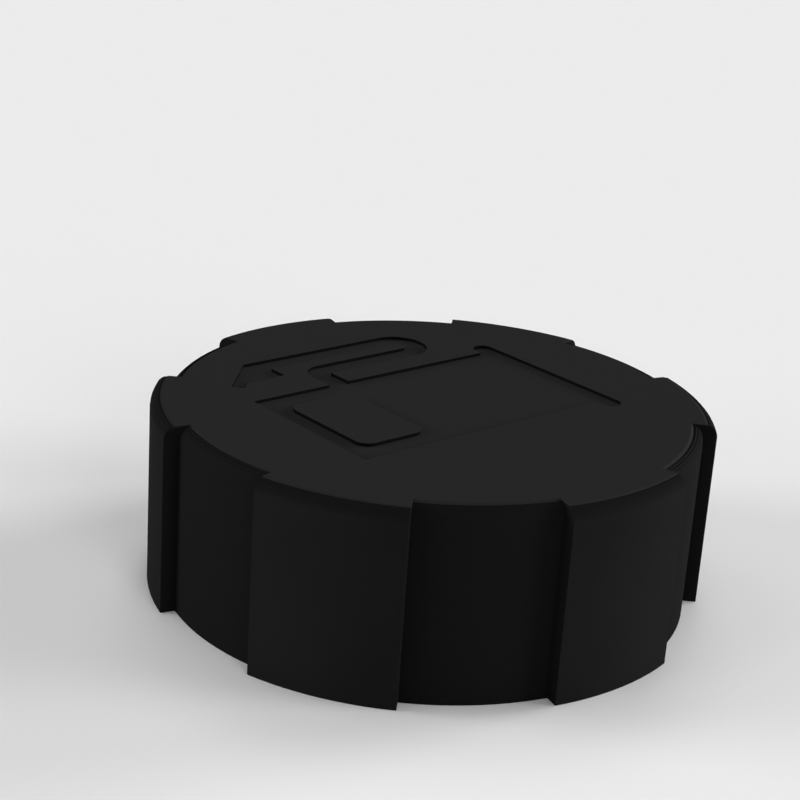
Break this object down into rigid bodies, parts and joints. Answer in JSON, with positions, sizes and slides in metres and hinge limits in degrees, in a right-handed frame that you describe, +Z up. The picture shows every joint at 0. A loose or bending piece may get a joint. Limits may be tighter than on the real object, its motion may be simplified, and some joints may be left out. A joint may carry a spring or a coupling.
{
  "type": "fuel filler cap",
  "caption": "Black screw-on fuel filler cap with grip lobes and an engraved pump sign; ratchet drive, vented valve and gasket inside.",
  "frame": {"origin": "on the axis, in the plane of the rim that the cap stands on", "axes": "+Z up out of the closed top; +X to the right of the engraved pump sign, through the middle of a grip lobe; +Y to the top of the sign"},
  "size_m": [0.08, 0.0772, 0.0275],
  "materials": {
    "shell_plastic": "black moulded polypropylene, fine matt texture",
    "closure_plastic": "black glass-filled nylon, satin as moulded",
    "ring_plastic": "black acetal snap ring, satin",
    "ratchet_plastic": "natural white acetal, satin as moulded",
    "valve_plastic": "dark grey acetal, satin as moulded",
    "seal_rubber": "black nitrile rubber, matt",
    "gasket_rubber": "black nitrile rubber, matt with fine grain",
    "spring_steel": "bright stainless spring wire",
    "sheet_steel": "zinc-plated pressed sheet",
    "screw_steel": "zinc-plated",
    "valve_brass": "turned, satin",
    "filter_foam": "open-cell grey foam"
  },
  "bodies": {
    "knob": {"grip_shell": "shell_plastic", "retaining_ring": "ring_plastic"},
    "closure": {"threaded_closure": "closure_plastic", "neck_gasket": "gasket_rubber", "ratchet_ring": "ratchet_plastic", "slip_washer": "sheet_steel", "valve_housing": "valve_plastic", "housing_gasket": "seal_rubber", "valve_screws": "screw_steel", "splash_baffle": "sheet_steel", "pressure_spring": "spring_steel", "spring_cap": "valve_plastic", "breather_filter": "filter_foam"},
    "pressure_valve": {"pressure_plate": "valve_brass", "pressure_seal": "seal_rubber", "vacuum_spring": "spring_steel"},
    "vacuum_valve": {"vacuum_valve": "valve_brass", "spring_keeper": "spring_steel"}
  },
  "joints": [
    {"name": "ratchet_slip", "type": "hinge", "parent": "knob", "child": "closure", "pos_m": [0, 0, 0.017], "axis": [0, 0, 1], "range_deg": [0, 360], "deforming": ["ratchet_ring"]},
    {"name": "pressure_lift", "type": "slide", "parent": "closure", "child": "pressure_valve", "axis": [0, 0, 1], "range_m": [0, 0.0012], "stiffness_N_per_m": 800, "springref_m": -0.0014, "deforming": ["pressure_spring"]},
    {"name": "vacuum_open", "type": "slide", "parent": "pressure_valve", "child": "vacuum_valve", "axis": [0, 0, -1], "range_m": [0, 0.0008], "stiffness_N_per_m": 100, "springref_m": -0.0005, "deforming": ["vacuum_spring"]}
  ]
}
